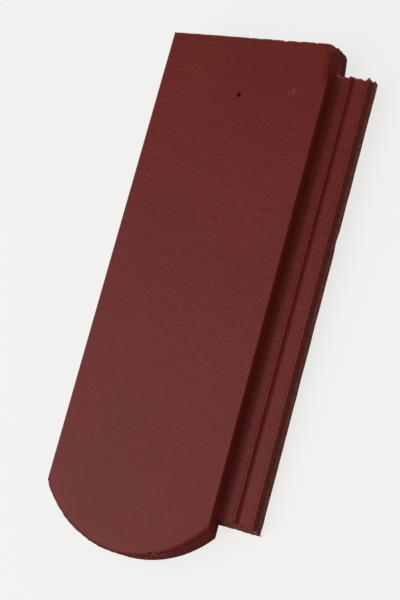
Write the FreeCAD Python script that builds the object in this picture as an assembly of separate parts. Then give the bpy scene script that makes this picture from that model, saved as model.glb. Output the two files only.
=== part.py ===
"""Half-width interlocking concrete roof tile with a segment-cut tail, as a FreeCAD model in millimetres.

The tile is one cast piece: a flat panel with a rounded tail, an underlock strip along its right side that
lies lower than the weather face, a matching overlock under its left side, two hanging nibs and a nail hole.

It is drawn in the tile's own axes, x across from the panel's left edge, y up the slope from the tail's
nose, z up from the weather face.  At the end it is turned to the pose in which it lies on a level floor,
on its nibs and its tail, with the origin under the middle of its box.
"""
import FreeCAD
import Part
import math
import os
from FreeCAD import Vector

# Overall
tile_length = 420.0          # head to nose
panel_width = 148.3          # weather face, side to side
body_depth = 21.3            # weather face to the bearing plane that lies on the battens
edge_round = 1.0             # top edges along the sides

# Tail: a segment of a circle whose wall leans outwards as it goes down
tail_radius = 93.0
nose_lean = 1.6
nose_round = 3.0

# Underlock strip, from the panel's wall outwards
wall_draft = 1.0             # how far the wall spreads on its way down to channel 1
channel_1_width = 10.5
channel_1_depth = 11.0       # all depths here are below the weather face
ridge_1_width = 4.8          # foot to foot
ridge_1_depth = 9.8
ridge_1_run_out = 2.2        # plan length of ridge 1's outer slope
channel_2_width = 10.0
channel_2_depth = 12.2
ridge_2_width = 4.3
ridge_2_depth = 10.2
ridge_2_run_out = 1.0        # plan length of ridge 2's outer slope
ledge_width = 1.3
ledge_depth = 14.5
outer_draft = 0.5            # how far the strip's outer wall spreads on its way down
ridge_run_in = 1.3           # plan length of each ridge's inner slope
ridge_round = 0.5
channel_round = 3.0          # foot of the panel's wall, and of ridge 1's outer slope
strip_tail_gap = 4.0         # the strip starts this far up the slope from the nose's corner
strip_tail_bevel = 4.3       # how far that end leans back as it rises to channel 1
strip_head_gap = 21.9        # the strip ends this far short of the head
head_notch_flare = 3.5       # the notch's side stands off this much where it meets the strip
head_notch_round = 3.0
tail_notch_lean = 3.0        # the panel's wall beside the nose leans in by this much at its foot

# Overlock: the underside along the left edge, shaped to cover a neighbour's strip
joint_gap = 1.7              # open joint between a panel's wall and its neighbour's edge
lock_clearance = 0.8

# Underside
panel_thickness = 13.5
outer_rib_width = 10.0       # bearing rib beside the overlock
lock_rib_width = 12.0        # bearing rib inside the underlock's wall
middle_rib_width = 8.0
head_band = 30.0             # full-depth bands at the head and the tail
tail_band = 64.0
pocket_draft = 3.0
pocket_round = 6.0
weather_groove_y = (36.0, 51.0)
weather_groove_width = 7.0
weather_groove_depth = 5.0

# Hanging nibs
nib_drop = 9.5               # below the bearing plane
nib_face_from_head = 24.0    # the face that hooks over the batten
nib_length = 15.0
nib_width = 26.0
nib_from_lock = 2.0          # from the overlock's foot to the left nib; the right nib mirrors it
nib_draft = 3.0
nib_root = 1.0               # how far a nib starts inside the body

# Nail hole, with the boss that it passes through
nail_hole_diameter = 3.2
nail_hole_from_head = 48.6
nail_boss_diameter = 20.0

# Broken corner at the head, beside the notch: how far it reaches along each edge
break_across = 5.5
break_down_slope = 3.5
break_deep = 10.5

clear = 5.0                  # how far cutting tools reach past the tile

# Worked out from the values above
middle_x = panel_width / 2
tail_centre_y = tail_radius + nose_lean
nose_corner_y = tail_centre_y - math.sqrt(tail_radius ** 2 - middle_x ** 2)
strip_tail_y = nose_corner_y + strip_tail_gap
wall_foot_x = panel_width + wall_draft
ridge_1_x = wall_foot_x + channel_1_width
channel_2_x = ridge_1_x + ridge_1_width
ridge_2_x = channel_2_x + channel_2_width
ledge_x = ridge_2_x + ridge_2_width
outer_top_x = ledge_x + ledge_width
tile_width = outer_top_x + outer_draft
cover_width = panel_width + joint_gap
strip_head_y = tile_length - strip_head_gap
overlock_inner_x = tile_width - cover_width + lock_clearance
overlock_foot_x = overlock_inner_x + lock_clearance
underside_left = overlock_foot_x + outer_rib_width
underside_right = panel_width - lock_rib_width
left_nib_x = overlock_foot_x + nib_from_lock + nib_width / 2
nib_face_y = tile_length - nib_face_from_head
nail_hole_y = tile_length - nail_hole_from_head
rest_tilt = math.degrees(math.atan2(nib_drop, nib_face_y))


def rounded_wire(corners, place):
    """Closed wire through (u, v, radius) corners, each rounded by its radius; place(u, v) gives the point."""
    ends = []
    for i, (u, v, radius) in enumerate(corners):
        here = Vector(u, v, 0)
        to_last = (Vector(*corners[i - 1][:2], 0) - here).normalize()
        to_next = (Vector(*corners[(i + 1) % len(corners)][:2], 0) - here).normalize()
        half_angle = to_last.getAngle(to_next) / 2
        setback = radius / math.tan(half_angle)
        rise = radius / math.sin(half_angle) - radius
        crown = here + (to_last + to_next).normalize() * rise
        ends.append([place(p.x, p.y) for p in (here + to_last * setback, crown, here + to_next * setback)])
    edges = []
    for i, (start, crown, end) in enumerate(ends):
        if corners[i][2] > 0:
            edges.append(Part.Arc(start, crown, end).toShape())
        following = ends[(i + 1) % len(ends)][0]
        edges.append(Part.LineSegment(end, following).toShape())
    return Part.Wire(edges)


def prism_along_x(corners, x_from, x_to):
    """Solid with the given (y, z, radius) section between two x values."""
    wire = rounded_wire(corners, lambda y, z: Vector(x_from, y, z))
    return Part.Face(wire).extrude(Vector(x_to - x_from, 0, 0))


def prism_along_y(corners, y_from, y_to):
    """Solid with the given (x, z, radius) section between two y values."""
    wire = rounded_wire(corners, lambda x, z: Vector(x, y_from, z))
    return Part.Face(wire).extrude(Vector(0, y_to - y_from, 0))


def prism_along_z(corners, z_from, z_to):
    """Solid with the given (x, y, radius) outline between two z values."""
    wire = rounded_wire(corners, lambda x, y: Vector(x, y, z_from))
    return Part.Face(wire).extrude(Vector(0, 0, z_to - z_from))


def upright_cylinder(x, y, radius):
    """Cylinder that passes right through the body."""
    return Part.makeCylinder(radius, body_depth + 2 * clear, Vector(x, y, -body_depth - clear))


def underlock_section():
    """(x, z, radius) from the panel's top right edge out to the strip's outer foot."""
    r = ridge_round
    return [
        (panel_width, 0, edge_round),
        (wall_foot_x, -channel_1_depth, channel_round),
        (ridge_1_x, -channel_1_depth, r),
        (ridge_1_x + ridge_run_in, -ridge_1_depth, r),
        (channel_2_x - ridge_1_run_out, -ridge_1_depth, r),
        (channel_2_x, -channel_2_depth, channel_round),
        (ridge_2_x, -channel_2_depth, r),
        (ridge_2_x + ridge_run_in, -ridge_2_depth, r),
        (ledge_x - ridge_2_run_out, -ridge_2_depth, r / 2),
        (ledge_x, -ledge_depth, r),
        (outer_top_x, -ledge_depth, r),
        (tile_width, -body_depth, r),
    ]


def overlock_section():
    """(x, z, radius) of the underside from the body's left foot out to the panel's left edge.

    It is the neighbour's underlock moved left by the cover width, with the lock clearance all round.
    """
    c = lock_clearance
    r = ridge_round
    rib_right = ridge_2_x - cover_width - c
    rib_left = channel_2_x - cover_width + c
    lip_right = ridge_1_x - cover_width - c
    over_ridge_2 = -ridge_2_depth + c
    over_ridge_1 = -ridge_1_depth + c
    rib_foot = -channel_2_depth + c
    lip_foot = -channel_1_depth + c
    return [
        (overlock_foot_x, -body_depth, edge_round),
        (overlock_inner_x, over_ridge_2, edge_round),
        (rib_right + ridge_run_in, over_ridge_2, r),
        (rib_right, rib_foot, r),
        (rib_left, rib_foot, channel_round - c),
        (rib_left - ridge_1_run_out, over_ridge_1, r),
        (lip_right + ridge_run_in, over_ridge_1, r),
        (lip_right, lip_foot, r),
        (0, lip_foot, channel_round - c),
        (0, 0, edge_round),
    ]


def extruded_body():
    """The tile's constant section, full length, before anything is cut."""
    return prism_along_y(underlock_section() + overlock_section(), 0, tile_length)


def tail_cut():
    """Ring round the tail's centre that leaves the segment-shaped nose, rounded on top."""
    reach = tail_centre_y + panel_width
    slope = nose_lean / body_depth
    outline = [
        (tail_radius - clear, 0, 0),
        (tail_radius, 0, nose_round),
        (tail_radius + slope * (body_depth + clear), -body_depth - clear, 0),
        (reach, -body_depth - clear, 0),
        (reach, clear, 0),
        (tail_radius - clear, clear, 0),
    ]
    wire = rounded_wire(outline, lambda radius, z: Vector(middle_x, tail_centre_y - radius, z))
    half_turn = math.degrees(math.asin(middle_x / (tail_radius - nose_round)))
    axis = Vector(middle_x, tail_centre_y, 0)
    up = Vector(0, 0, 1)
    ring = Part.Face(wire).revolve(axis, up, 2 * half_turn)
    ring.rotate(axis, up, -half_turn)
    panel_side = Part.makeBox(
        reach + panel_width, 2 * reach, 2 * body_depth + 2 * clear,
        Vector(-reach, -reach, -2 * body_depth))
    return ring.common(panel_side)


def strip_tail_cut():
    """Notch beside the nose: it ends the strip with a bevel and leaves the panel's wall leaning in."""
    below = -body_depth - clear
    ends_strip = [
        (-clear, clear, 0),
        (strip_tail_y + strip_tail_bevel, clear, 0),
        (strip_tail_y + strip_tail_bevel, -channel_1_depth, 0),
        (strip_tail_y, -body_depth, 0),
        (strip_tail_y, below, 0),
        (-clear, below, 0),
    ]
    lean = tail_notch_lean / body_depth
    beside_panel = [
        (panel_width + lean * clear, clear, 0),
        (panel_width + lean * below, below, 0),
        (tile_width + clear, below, 0),
        (tile_width + clear, clear, 0),
    ]
    return prism_along_x(ends_strip, 0, tile_width + clear).common(
        prism_along_y(beside_panel, -clear, strip_tail_y + strip_tail_bevel + clear))


def strip_head_cut():
    """Notch beside the head, with a flared side and a rounded inner corner."""
    corners = [
        (panel_width + head_notch_flare, strip_head_y, head_notch_round),
        (tile_width + clear, strip_head_y, 0),
        (tile_width + clear, tile_length + clear, 0),
        (panel_width, tile_length + clear, 0),
    ]
    return prism_along_z(corners, -body_depth - clear, clear)


def broken_corner():
    """The wedge that has come off the weather face's corner at the head."""
    corner = Vector(panel_width, tile_length, 0)
    across = corner - Vector(break_across, 0, 0)
    down_slope = corner - Vector(0, break_down_slope, 0)
    deep = corner - Vector(0, 0, break_deep)
    outward = (down_slope - across).cross(deep - across).normalize()
    size = 2 * (break_across + break_down_slope + break_deep)
    face = Part.makePlane(size, size, across, outward)
    face.translate(across - face.CenterOfMass)
    return face.extrude(outward * size)


def pocket_outline(sides, inset, z):
    """Rounded rectangle at height z, drawn in from its (x, x, y, y) sides by an inset."""
    x_from, x_to, y_from, y_to = sides
    corners = [
        (x_from + inset, y_from + inset, pocket_round),
        (x_to - inset, y_from + inset, pocket_round),
        (x_to - inset, y_to - inset, pocket_round),
        (x_from + inset, y_to - inset, pocket_round),
    ]
    return rounded_wire(corners, lambda x, y: Vector(x, y, z))


def pocket(x_from, x_to):
    """Drafted recess in the underside, between two ribs and the bands at the head and the tail."""
    sides = (x_from, x_to, tail_band, tile_length - head_band)
    slope = pocket_draft / (body_depth - panel_thickness)
    mouth = pocket_outline(sides, -slope * clear, -body_depth - clear)
    floor = pocket_outline(sides, pocket_draft, -panel_thickness)
    return Part.makeLoft([mouth, floor], True, True)


def underside_pockets():
    """Two recesses between the bearing ribs, less the boss that the nail passes through."""
    half_rib = middle_rib_width / 2
    left = pocket(underside_left, middle_x - half_rib)
    right = pocket(middle_x + half_rib, underside_right)
    return left.fuse(right).cut(upright_cylinder(middle_x, nail_hole_y, nail_boss_diameter / 2))


def weather_groove(y):
    """Round-cornered cross groove under the tail; the bars between grooves keep driven rain out."""
    half = weather_groove_width / 2
    top = weather_groove_depth - body_depth
    corners = [
        (y - half, -body_depth - clear, 0),
        (y - half, top, half / 2),
        (y + half, top, half / 2),
        (y + half, -body_depth - clear, 0),
    ]
    return prism_along_x(corners, underside_left, underside_right)


def flat_sided(foot, root):
    """Solid between two four-cornered outlines, with a flat face on every side."""
    faces = [foot, root]
    for i in range(4):
        faces.append([foot[i - 1], foot[i], root[i], root[i - 1]])
    return Part.Solid(Part.Shell([Part.Face(Part.makePolygon(f + f[:1])) for f in faces]))


def nib(centre_x):
    """Hanging nib: a square face that hooks over the batten, the other sides drafted."""
    def outline(z, draft):
        left = centre_x - nib_width / 2 + draft
        right = centre_x + nib_width / 2 - draft
        back = nib_face_y + nib_length - 2 * draft
        return [
            Vector(left, nib_face_y, z),
            Vector(right, nib_face_y, z),
            Vector(right, back, z),
            Vector(left, back, z),
        ]
    return flat_sided(outline(-body_depth - nib_drop, nib_draft), outline(-body_depth + nib_root, 0))


def tile_in_own_axes():
    body = extruded_body()
    cuts = [tail_cut(), strip_tail_cut(), strip_head_cut(), broken_corner(), underside_pockets()]
    cuts += [weather_groove(y) for y in weather_groove_y]
    body = body.cut(cuts)
    body = body.fuse([nib(left_nib_x), nib(panel_width - left_nib_x)])
    body = body.cut(upright_cylinder(middle_x, nail_hole_y, nail_hole_diameter / 2))
    return body.removeSplitter()


def laid_to_rest(shape):
    """The tile turned down onto its nibs and tail, with the origin under the middle of its box."""
    turned = shape.copy()
    turned.rotate(Vector(0, 0, 0), Vector(1, 0, 0), rest_tilt)
    box = turned.optimalBoundingBox(False, False)
    turned.translate(Vector(-(box.XMin + box.XMax) / 2, -(box.YMin + box.YMax) / 2, -box.ZMin))
    return turned


half_tile = laid_to_rest(tile_in_own_axes())

os.makedirs("parts", exist_ok=True)
half_tile.exportStep("parts/half_tile.step")
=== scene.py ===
import math
import bmesh
import bpy
from mathutils import Matrix, Vector, noise


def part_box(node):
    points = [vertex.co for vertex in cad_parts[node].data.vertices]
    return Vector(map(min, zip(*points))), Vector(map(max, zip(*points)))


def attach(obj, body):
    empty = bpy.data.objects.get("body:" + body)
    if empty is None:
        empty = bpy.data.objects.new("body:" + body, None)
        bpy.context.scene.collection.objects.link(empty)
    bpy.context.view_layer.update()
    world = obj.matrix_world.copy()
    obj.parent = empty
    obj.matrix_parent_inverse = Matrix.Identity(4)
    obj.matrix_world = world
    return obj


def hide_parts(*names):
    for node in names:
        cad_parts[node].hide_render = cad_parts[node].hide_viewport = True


# Looks for the half roof tile: one cast concrete piece with a satin dark red coating.
# Shapes are worked out in the tile's own axes in millimetres (x from the panel's left edge, y from the
# nose, z up from the weather face) and then laid into the frame, where the tile rests on its nibs and tail.

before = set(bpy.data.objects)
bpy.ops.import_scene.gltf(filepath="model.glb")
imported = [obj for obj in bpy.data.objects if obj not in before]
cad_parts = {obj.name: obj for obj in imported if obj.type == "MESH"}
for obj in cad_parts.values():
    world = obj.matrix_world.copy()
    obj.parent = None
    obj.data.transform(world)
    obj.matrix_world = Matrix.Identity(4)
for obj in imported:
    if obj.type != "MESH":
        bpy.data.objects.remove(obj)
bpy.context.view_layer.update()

# the tile's sizes, as part.py has them
TILE_LENGTH = 420.0
PANEL_WIDTH = 148.3
TILE_WIDTH = 180.7
BODY_DEPTH = 21.3
TAIL_RADIUS = 93.0
TAIL_CENTRE = Vector((74.15, 94.6))
STRIP_TAIL = 42.47
STRIP_HEAD = 398.1
TILT = math.atan2(9.5, 396.0)

low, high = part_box("half_tile")
SHIFT = Vector((
    low[0] * 1000,
    high[1] * 1000 - TILE_LENGTH * math.cos(TILT) - BODY_DEPTH * math.sin(TILT),
    BODY_DEPTH * math.cos(TILT)))
TO_FRAME = Matrix.Scale(0.001, 4) @ Matrix.Translation(SHIFT) @ Matrix.Rotation(TILT, 4, "X")

NAIL_HOLE = Vector((74.15, 371.4))
BORE_REACH = 1.8  # a point nearer to the hole's axis is on the bore's wall
THROAT_RADIUS = 1.05
MOUTH_FLARE = 1.05
FLARE_DEPTH = 2.5
LEAN = 1.3
LEAN_DEPTH = 12.0

NOSE_CORNER_RADIUS = 6.0
HEAD_CORNER_RADIUS = 2.5
# the face falls away by FALL over FALL_LENGTH, from FALL_START out from the tail's centre
FALL_START = 83.0
FALL_LENGTH = 10.0
FALL = 0.9
# two chips in the outer wall: place along it and half length
CHIPS = [(297.0, 3.0), (270.0, 2.5)]
SHARP_EDGE = math.radians(28)
STUDIO_TONE = (0.905, 0.896, 0.879, 1)

# pits: x, y, z, radius and depth
PITS = [
    (141.0, 370.3, 0.0, 1.6, 1.1), (111.5, 169.0, 0.0, 1.4, 0.3),
    (106.2, 8.7, -1.0, 2.0, 1.9), (112.0, 10.2, -1.5, 1.6, 1.4), (116.0, 11.6, -1.5, 1.9, 1.6),
    (122.5, 15.0, -2.0, 1.3, 0.8), (101.0, 6.2, -2.0, 1.2, 0.7), (142.5, 31.0, -3.5, 2.0, 1.6)]
# pale scuffs in the coat: x, y, radius and strength
SCUFFS = [
    (121.7, 379.9, 1.7, 0.20), (122.6, 377.4, 1.6, 0.16), (118.8, 377.9, 1.5, 0.15),
    (125.0, 377.7, 1.2, 0.10), (46.4, 106.4, 1.1, 0.14), (47.6, 104.8, 1.0, 0.14),
    (88.7, 32.7, 1.2, 0.08), (31.1, 49.2, 1.2, 0.08)]


def spread(start, stop, step):
    """Even places from start to stop, about a step apart."""
    count = max(1, round((stop - start) / step))
    return [start + (stop - start) * i / count for i in range(count + 1)]


def slice_mesh(bm, axis, values):
    """Cuts the mesh along planes, without changing its shape, so that it can be worked on."""
    normal = Vector((0, 0, 0))
    normal[axis] = 1
    for value in values:
        geom = bm.verts[:] + bm.edges[:] + bm.faces[:]
        bmesh.ops.bisect_plane(bm, geom=geom, dist=1e-4, plane_co=normal * value, plane_no=normal)


def ramp(value, start, stop):
    """0 before start, 1 after stop, smooth between."""
    t = min(1.0, max(0.0, (value - start) / (stop - start)))
    return t * t * (3 - 2 * t)


def rough(p, size, seed=0.0):
    """Noise of -1 to 1 with lumps of the given size in millimetres."""
    return noise.noise(Vector((p.x + seed, p.y - seed, p.z + seed * 0.5)) / size)


def round_corner(p, line_x, side):
    """Moves a point of the wall where the nose meets a side onto a rounded corner."""
    r = NOSE_CORNER_RADIUS
    across = (TAIL_RADIUS - r) ** 2 - (TAIL_CENTRE.x - r) ** 2
    centre = Vector((line_x - side * r, TAIL_CENTRE.y - math.sqrt(across)))
    to_nose = (centre - TAIL_CENTRE).normalized()
    q = Vector((p.x, p.y)) - centre
    turn = math.atan2(q.y, q.x * side)
    if math.atan2(to_nose.y, to_nose.x * side) < turn < 0 and q.length > r:
        q = q.normalized() * r
        p.x = centre.x + q.x
        p.y = centre.y + q.y


def cut_head(p, n):
    """The head end, cut while green, with small breaks along the right half of its top edge."""
    head = TILE_LENGTH - p.y
    if head > 6 or p.x > PANEL_WIDTH + 0.6:
        return Vector()
    near = 1 - ramp(head, 0.0, 1.6)
    top = 1 - ramp(-p.z, 0.0, 3.0)
    chip = max(0.0, rough(p, 4.5, 11.0) - 0.05) * near * top * ramp(p.x, 55.0, 95.0)
    ragged = near * (0.25 + 0.25 * rough(p, 5.0, 3.1) + 0.15 * rough(p, 1.9, 7.7))
    return Vector((0, -ragged - 1.6 * chip, -0.9 * chip))


def cut_strip_head(p, n):
    """The strip's head end, torn into small teeth, with its outer corner worn round."""
    if p.x < PANEL_WIDTH + 2 or p.z > -4:
        return Vector()
    near = 1 - ramp(STRIP_HEAD - p.y, 0.2, 2.8)
    teeth = 1.2 * rough(p, 2.6, 5.0) + 0.8 * rough(p, 1.3, 9.0) + 0.2
    hollow = 1.2 * (1 - ramp(abs(p.x - 172.4), 1.2, 3.0)) + 2.4 * (1 - ramp(abs(p.x - 178.8), 0.2, 1.1))
    corner = 0.7 * ramp(p.x, TILE_WIDTH - 0.8, TILE_WIDTH)
    return Vector((0, near * (min(1.0, teeth) - hollow - corner), 0))


def cut_strip_tail(p, n):
    """The bevel at the strip's tail end, roughened by the cut."""
    if p.x < PANEL_WIDTH + 0.6:
        return Vector()
    near = (1 - ramp(p.y, STRIP_TAIL + 4.0, STRIP_TAIL + 6.5)) * ramp(p.y, STRIP_TAIL - 1, STRIP_TAIL)
    return n * near * (0.9 * rough(p, 1.9, 2.0) + 0.6 * rough(p, 1.0, 4.0) - 0.1)


def softened_notch(p, n):
    """Beside the head the panel's edge is rubbed round, most of all at the broken corner."""
    along = ramp(p.y, STRIP_HEAD - 16, STRIP_HEAD + 3)
    if along == 0 or p.z < -11 or p.x > PANEL_WIDTH + 4:
        return Vector()
    over = min(1.0, max(0.0, (p.x - PANEL_WIDTH + 8.0) / 8.0))
    down = 1 + p.z / 11.0
    return Vector((-2.4 * over ** 4 * down ** 2, 0, -3.0 * over ** 2 * down)) * along


def broken_corner(p, n):
    """The break above the notch is lumpy, and a little lower than its clean cut."""
    away = math.dist((p.x, p.y, p.z * 0.5), (PANEL_WIDTH, TILE_LENGTH, 0.0))
    near = 1 - ramp(away, 5.0, 12.0)
    return n * near * (0.7 * rough(p, 3.0, 21.0) + 0.4 * rough(p, 1.5, 23.0) - 0.5)


def outer_wall(p, n):
    """The strip's outer wall is left as it came from the mould, with two small chips."""
    if p.x < TILE_WIDTH - 1.2 or p.z > -15:
        return Vector()
    chips = sum(1 - ramp(abs(p.y - y), 0.5, half) for y, half in CHIPS)
    return Vector((-0.1 - 0.2 * rough(p, 3.5, 41.0) - 0.15 * rough(p, 1.6, 43.0) - 0.7 * chips, 0, 0))


def fallen_nose(p, n):
    """The face falls away gently before it reaches the nose."""
    out = math.dist((p.x, p.y), TAIL_CENTRE)
    if n.z < 0.2 or p.y > TAIL_CENTRE.y or out < FALL_START or p.x > PANEL_WIDTH + 0.6:
        return Vector()
    return Vector((0, 0, -FALL * ((out - FALL_START) / FALL_LENGTH) ** 2))


def pitted(p, n):
    """Round pits, deepest in the middle."""
    moved = Vector()
    for x, y, z, size, deep in PITS:
        away = math.dist(p, (x, y, z)) / size
        if away < 1 and n.z > -0.2:
            moved -= n * deep * (1 - away * away) ** 2
    return moved


def nose_wall(p, n):
    """The nose's wall is slightly rough under its rounded rim."""
    if p.y > STRIP_TAIL or n.z > 0.6 or p.z < -BODY_DEPTH + 0.5:
        return Vector()
    return n * (0.45 * rough(p, 3.0, 51.0) + 0.35 * rough(p, 1.5, 53.0) - 0.1)


def head_corner(p, n):
    """The corner between the head end and the notch is worn round."""
    r = HEAD_CORNER_RADIUS
    out = Vector((p.x - PANEL_WIDTH + r, p.y - TILE_LENGTH + r))
    if min(out) < 0 or out.length < r:
        return Vector()
    return (out.normalized() * r - out).to_3d()


def nail_hole(p, n):
    """The hole leans a little. Its mouth is flared, over a throat that is narrower than the bore."""
    out = Vector((p.x, p.y)) - NAIL_HOLE
    if out.length > 5 or p.z < -LEAN_DEPTH:
        return Vector()
    funnel = max(0.0, 1 + p.z / FLARE_DEPTH) ** 2
    if out.length < BORE_REACH:
        move = THROAT_RADIUS + MOUTH_FLARE * funnel + 0.55 * ramp(-p.z, 6.0, LEAN_DEPTH) - out.length
    else:
        move = 0.5 * funnel * (1 - ramp(out.length, BORE_REACH, 4.5))
    lean = LEAN * (1 - ramp(out.length, 1.6, 5.0)) * (1 + p.z / LEAN_DEPTH)
    return (Vector((lean, 0)) + out.normalized() * move).to_3d()


def wavy(p, n):
    """Soft waviness of the pressed face."""
    if n.z < 0.7:
        return Vector()
    return Vector((0, 0, 0.10 * rough(p, 60.0, 31.0) + 0.03 * rough(p, 14.0, 33.0) - 0.08))


WEAR = [cut_head, cut_strip_head, cut_strip_tail, softened_notch, broken_corner, outer_wall,
        head_corner, nail_hole, fallen_nose, pitted, nose_wall, wavy]


def bare_and_painted_light(p, n):
    """How much of the brown concrete colour shows at p: uncoated concrete where the coat is worn or cut
    away, and on the strip's outer wall and ledge partly uncoated concrete, partly painted light that
    lightens faces lying in shade.
    """
    head = TILE_LENGTH - p.y
    amount = 0.0
    # painted light: the strip's ledge and outer wall get the pale brown concrete colour, partly as uncoated
    # concrete and partly to lighten faces lying in shade
    if p.x > TILE_WIDTH - 2.8 and p.z < -10.8:
        amount = 0.65 if p.z < -14.8 else 0.22
    if p.x > PANEL_WIDTH + 2:
        amount = max(amount, 0.8 * (1 - ramp(STRIP_HEAD - p.y, 0.0, 2.0)) * (p.y < STRIP_HEAD + 1.5))
        amount = max(amount, 0.45 * (1 - ramp(p.y, STRIP_TAIL + 2.5, STRIP_TAIL + 5.0)))
    if p.x > PANEL_WIDTH - 1 and p.y > STRIP_HEAD:
        amount = max(amount, 0.15)
    if p.x < PANEL_WIDTH + 1:
        amount = max(amount, 0.7 * (1 - ramp(head, 0.2, 1.2)))
    away = math.dist((p.x, p.y, p.z * 0.5), (PANEL_WIDTH, TILE_LENGTH, 0.0))
    amount = max(amount, 0.4 * (1 - ramp(away, 3.0, 9.0)))
    if p.y < STRIP_TAIL and n.z < 0.5 and p.z < -2:
        amount = max(amount, 0.05)
    chipped = 1 - ramp(math.dist(p, (111.0, 10.0, -3.0)), 3.5, 8.0)
    if n.z < 0.9:
        amount = max(amount, chipped * max(0.0, 2.2 * rough(p, 1.6, 61.0) + 0.1))
    return amount


def cast_tile():
    """The tile's CAD node, cut finely enough to be worn, then worn and given its sharp edges."""
    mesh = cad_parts["half_tile"].data.copy()
    mesh.name = "cast_tile"
    bm = bmesh.new()
    bm.from_mesh(mesh)
    bmesh.ops.remove_doubles(bm, verts=bm.verts, dist=2e-6)
    bmesh.ops.transform(bm, matrix=TO_FRAME.inverted(), verts=bm.verts)
    slice_mesh(bm, 1, spread(0.6, 44.0, 1.1) + spread(44.0, 52.0, 1.0)[1:])
    slice_mesh(bm, 1, spread(52.0, 366.0, 8.0)[1:])
    slice_mesh(bm, 1, spread(366.0, 419.4, 0.9)[1:])
    slice_mesh(bm, 0, spread(3.0, 96.0, 3.0) + spread(96.0, 146.0, 1.5)[1:] + spread(147.0, 180.4, 0.9))
    slice_mesh(bm, 2, spread(-19.5, -0.8, 1.6))
    bm.normal_update()
    coat = bm.verts.layers.float.new("bare_and_painted_light")
    moved = []
    for v in bm.verts:
        p, n = v.co.copy(), v.normal.copy()
        v[coat] = bare_and_painted_light(p, n)
        moved.append(p + sum((wear(p, n) for wear in WEAR), Vector()))
    for v, q in zip(bm.verts, moved):
        v.co = q
        if q.y < STRIP_TAIL - 1:
            round_corner(v.co, 0.0, -1)
            round_corner(v.co, PANEL_WIDTH, 1)
    bmesh.ops.triangulate(bm, faces=bm.faces)
    bmesh.ops.transform(bm, matrix=TO_FRAME, verts=bm.verts)
    for v in bm.verts:
        v.co = [min(high[i], max(low[i], v.co[i])) for i in range(3)]
    for f in bm.faces:
        f.smooth = True
    bm.normal_update()
    for e in bm.edges:
        e.smooth = e.calc_face_angle(math.pi) < SHARP_EDGE
    bm.to_mesh(mesh)
    bm.free()
    if mesh.attributes.get("custom_normal"):
        mesh.attributes.remove(mesh.attributes["custom_normal"])
    obj = bpy.data.objects.new("cast_tile", mesh)
    bpy.context.collection.objects.link(obj)
    mesh.materials.clear()
    return obj


def node(tree, kind, **values):
    """Adds a node. A value goes to the input of that name, or else to the node's own property."""
    made = tree.nodes.new(kind)
    for key, value in values.items():
        if key in made.inputs:
            made.inputs[key].default_value = value
        else:
            setattr(made, key, value)
    return made


def scuffs(tree, where):
    """How scuffed the coat is, as the sum of soft round marks broken up by fine noise."""
    ragged = node(tree, "ShaderNodeTexNoise", Scale=900.0, Detail=2.0)
    tree.links.new(where, ragged.inputs["Vector"])
    total = None
    for x, y, radius, strength in SCUFFS:
        away = node(tree, "ShaderNodeVectorMath", operation="DISTANCE")
        tree.links.new(where, away.inputs[0])
        away.inputs[1].default_value = TO_FRAME @ Vector((x, y, 0))
        mark = node(tree, "ShaderNodeMapRange")
        mark.inputs["From Max"].default_value = radius * 0.001
        mark.inputs["To Min"].default_value = 2 * strength
        mark.inputs["To Max"].default_value = 0.0
        tree.links.new(away.outputs["Value"], mark.inputs["Value"])
        if total is None:
            total = mark.outputs["Result"]
        else:
            add = node(tree, "ShaderNodeMath", operation="ADD")
            tree.links.new(total, add.inputs[0])
            tree.links.new(mark.outputs["Result"], add.inputs[1])
            total = add.outputs[0]
    broken = node(tree, "ShaderNodeMath", operation="MULTIPLY", use_clamp=True)
    tree.links.new(total, broken.inputs[0])
    tree.links.new(ragged.outputs["Fac"], broken.inputs[1])
    return broken.outputs[0]


def coarser_strip(tree, where, height):
    """The grain's height, made larger on the strip, which no roller has smoothed."""
    place = node(tree, "ShaderNodeSeparateXYZ")
    tree.links.new(where, place.inputs["Vector"])
    side = (SHIFT.x + PANEL_WIDTH) * 0.001
    gain = node(tree, "ShaderNodeMapRange")
    gain.inputs["From Min"].default_value = side + 0.0005
    gain.inputs["From Max"].default_value = side + 0.002
    gain.inputs["To Min"].default_value = 1.0
    gain.inputs["To Max"].default_value = 1.7
    tree.links.new(place.outputs["X"], gain.inputs["Value"])
    higher = node(tree, "ShaderNodeMath", operation="MULTIPLY")
    tree.links.new(height, higher.inputs[0])
    tree.links.new(gain.outputs["Result"], higher.inputs[1])
    return higher.outputs[0]


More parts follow.
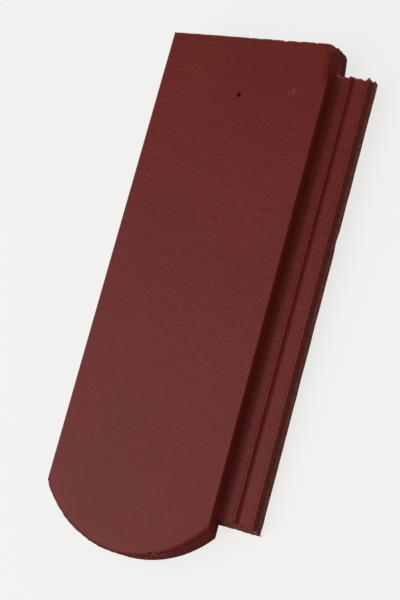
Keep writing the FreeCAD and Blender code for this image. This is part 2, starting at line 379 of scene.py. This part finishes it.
def coated_concrete():
    mat = bpy.data.materials.new("coated_concrete")
    mat.use_nodes = True
    tree = mat.node_tree
    link = tree.links.new
    shader = tree.nodes["Principled BSDF"]
    where = node(tree, "ShaderNodeTexCoord").outputs["Object"]
    # colour: a dark red coat with faint clouds and a fine mottle
    clouds = node(tree, "ShaderNodeTexNoise", Scale=16.0, Detail=4.0, Roughness=0.6)
    link(where, clouds.inputs["Vector"])
    mottle = node(tree, "ShaderNodeTexNoise", Scale=260.0, Detail=5.0, Roughness=0.75)
    link(where, mottle.inputs["Vector"])
    blend = node(tree, "ShaderNodeMix", data_type="FLOAT")
    blend.inputs["Factor"].default_value = 0.6
    link(clouds.outputs["Fac"], blend.inputs["A"])
    link(mottle.outputs["Fac"], blend.inputs["B"])
    tint = node(tree, "ShaderNodeValToRGB")
    tint.color_ramp.elements[0].position = 0.38
    tint.color_ramp.elements[0].color = (0.109, 0.0092, 0.0062, 1)
    tint.color_ramp.elements[1].position = 0.62
    tint.color_ramp.elements[1].color = (0.126, 0.0112, 0.0076, 1)
    link(blend.outputs["Result"], tint.inputs["Fac"])
    # speckled brown concrete shows where the coat is worn or cut away, and as painted light on the strip's
    # outer wall and ledge
    speckle = node(tree, "ShaderNodeTexNoise", Scale=650.0, Detail=2.0, Roughness=0.6)
    link(where, speckle.inputs["Vector"])
    sand = node(tree, "ShaderNodeValToRGB")
    sand.color_ramp.elements[0].position = 0.36
    sand.color_ramp.elements[0].color = (0.085, 0.022, 0.016, 1)
    sand.color_ramp.elements[1].position = 0.66
    sand.color_ramp.elements[1].color = (0.300, 0.120, 0.100, 1)
    link(speckle.outputs["Fac"], sand.inputs["Fac"])
    bare_and_painted_light_amount = node(tree, "ShaderNodeAttribute", attribute_name="bare_and_painted_light")
    patchy = node(tree, "ShaderNodeMath", operation="MULTIPLY_ADD")
    link(mottle.outputs["Fac"], patchy.inputs[0])
    patchy.inputs[1].default_value = 1.6
    patchy.inputs[2].default_value = -0.8
    shown = node(tree, "ShaderNodeMath", operation="MULTIPLY_ADD", use_clamp=True)
    link(bare_and_painted_light_amount.outputs["Fac"], shown.inputs[0])
    link(patchy.outputs[0], shown.inputs[1])
    link(bare_and_painted_light_amount.outputs["Fac"], shown.inputs[2])
    coat = node(tree, "ShaderNodeMix", data_type="RGBA")
    link(shown.outputs[0], coat.inputs[0])
    link(tint.outputs["Color"], coat.inputs[6])
    link(sand.outputs["Color"], coat.inputs[7])
    pale = node(tree, "ShaderNodeMix", data_type="RGBA")
    link(scuffs(tree, where), pale.inputs[0])
    link(coat.outputs[2], pale.inputs[6])
    pale.inputs[7].default_value = (0.34, 0.20, 0.18, 1)
    link(pale.outputs[2], shader.inputs["Base Color"])
    # surface: a faint ripple across the slope over a fine pressed grain
    stretch = node(tree, "ShaderNodeMapping")
    stretch.inputs["Scale"].default_value = (1.0, 1.7, 1.0)
    link(where, stretch.inputs["Vector"])
    ripple = node(tree, "ShaderNodeTexNoise", Scale=95.0, Detail=3.0, Roughness=0.55)
    link(stretch.outputs["Vector"], ripple.inputs["Vector"])
    first = node(tree, "ShaderNodeBump", Strength=1.0, Distance=0.00034)
    link(ripple.outputs["Fac"], first.inputs["Height"])
    grain = node(tree, "ShaderNodeTexNoise", Scale=480.0, Detail=3.0, Roughness=0.6)
    link(where, grain.inputs["Vector"])
    bump = node(tree, "ShaderNodeBump", Strength=1.0, Distance=0.00022)
    link(coarser_strip(tree, where, grain.outputs["Fac"]), bump.inputs["Height"])
    link(first.outputs["Normal"], bump.inputs["Normal"])
    link(bump.outputs["Normal"], shader.inputs["Normal"])
    facing = node(tree, "ShaderNodeSeparateXYZ")
    link(node(tree, "ShaderNodeTexCoord").outputs["Normal"], facing.inputs["Vector"])
    dull = node(tree, "ShaderNodeMapRange")
    dull.inputs["From Min"].default_value = 0.85
    dull.inputs["From Max"].default_value = 0.45
    dull.inputs["To Min"].default_value = 0.42
    dull.inputs["To Max"].default_value = 0.95
    link(facing.outputs["Z"], dull.inputs["Value"])
    link(dull.outputs["Result"], shader.inputs["Roughness"])
    shader.inputs["Specular IOR Level"].default_value = 0.145
    return mat


def floor_material():
    mat = bpy.data.materials.new("studio_floor")
    mat.use_nodes = True
    tree = mat.node_tree
    link = tree.links.new
    shader = tree.nodes["Principled BSDF"]
    shader.inputs["Base Color"].default_value = (0.60, 0.595, 0.585, 1)
    shader.inputs["Roughness"].default_value = 1.0
    shader.inputs["Specular IOR Level"].default_value = 0.0
    glow = node(tree, "ShaderNodeEmission", Color=STUDIO_TONE, Strength=1.066)
    path = node(tree, "ShaderNodeLightPath")
    seen = node(tree, "ShaderNodeMath", operation="MULTIPLY")
    seen.inputs[1].default_value = 0.8
    link(path.outputs["Is Camera Ray"], seen.inputs[0])
    mix = node(tree, "ShaderNodeMixShader")
    link(seen.outputs[0], mix.inputs["Fac"])
    link(shader.outputs["BSDF"], mix.inputs[1])
    link(glow.outputs["Emission"], mix.inputs[2])
    link(mix.outputs["Shader"], tree.nodes["Material Output"].inputs["Surface"])
    return mat


def studio():
    mesh = bpy.data.meshes.new("studio_floor")
    s = 8.0
    mesh.from_pydata([(-s, -s, 0), (s, -s, 0), (s, s, 0), (-s, s, 0)], [], [(0, 1, 2, 3)])
    mesh.materials.append(floor_material())
    floor = bpy.data.objects.new("studio_floor", mesh)
    bpy.context.collection.objects.link(floor)
    bpy.context.scene.world = studio_world()
    soft_box("key", (-1.20, -0.62, 1.70), (0.0, -0.05, 0.0), 2.0, 43.0)


def studio_world():
    """Plain light from all round, which the camera sees as the same pale tone as the floor."""
    world = bpy.data.worlds.new("studio")
    world.use_nodes = True
    tree = world.node_tree
    link = tree.links.new
    light = tree.nodes["Background"]
    light.inputs["Color"].default_value = STUDIO_TONE
    light.inputs["Strength"].default_value = 0.5
    seen = node(tree, "ShaderNodeBackground", Color=STUDIO_TONE, Strength=1.0)
    mix = node(tree, "ShaderNodeMixShader")
    link(node(tree, "ShaderNodeLightPath").outputs["Is Camera Ray"], mix.inputs["Fac"])
    link(light.outputs["Background"], mix.inputs[1])
    link(seen.outputs["Background"], mix.inputs[2])
    link(mix.outputs["Shader"], tree.nodes["World Output"].inputs["Surface"])
    return world


def soft_box(name, place, target, size, power):
    light = bpy.data.lights.new(name, "AREA")
    light.shape = "SQUARE"
    light.size = size
    light.energy = power
    light.color = (1.0, 0.965, 1.0)
    obj = bpy.data.objects.new(name, light)
    obj.location = place
    obj.rotation_euler = (Vector(target) - Vector(place)).to_track_quat("-Z", "Y").to_euler()
    bpy.context.collection.objects.link(obj)


def camera():
    """The photo's camera, with its place and directions given in the tile's own axes."""
    data = bpy.data.cameras.new("camera")
    data.lens = 77.66
    data.sensor_width = 36.0
    data.clip_end = 50
    obj = bpy.data.objects.new("camera", data)
    right = Vector((0.85583735, 0.26186015, -0.44606243))
    down = Vector((0.16500342, -0.95554148, -0.24436522))
    ahead = Vector((-0.49022066, 0.13553505, -0.86099591))
    turn = Matrix((right, -down, -ahead)).transposed().to_4x4()
    pose = TO_FRAME @ Matrix.Translation((579.38, 68.31, 858.33)) @ turn
    place, rotation, _ = pose.decompose()
    obj.matrix_world = Matrix.Translation(place) @ rotation.to_matrix().to_4x4()
    bpy.context.collection.objects.link(obj)
    bpy.context.scene.camera = obj


tile = cast_tile()
tile.data.materials.append(coated_concrete())
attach(tile, "root")
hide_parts("half_tile")
studio()
camera()
bpy.context.scene.view_settings.view_transform = "Standard"

bpy.context.view_layer.update()
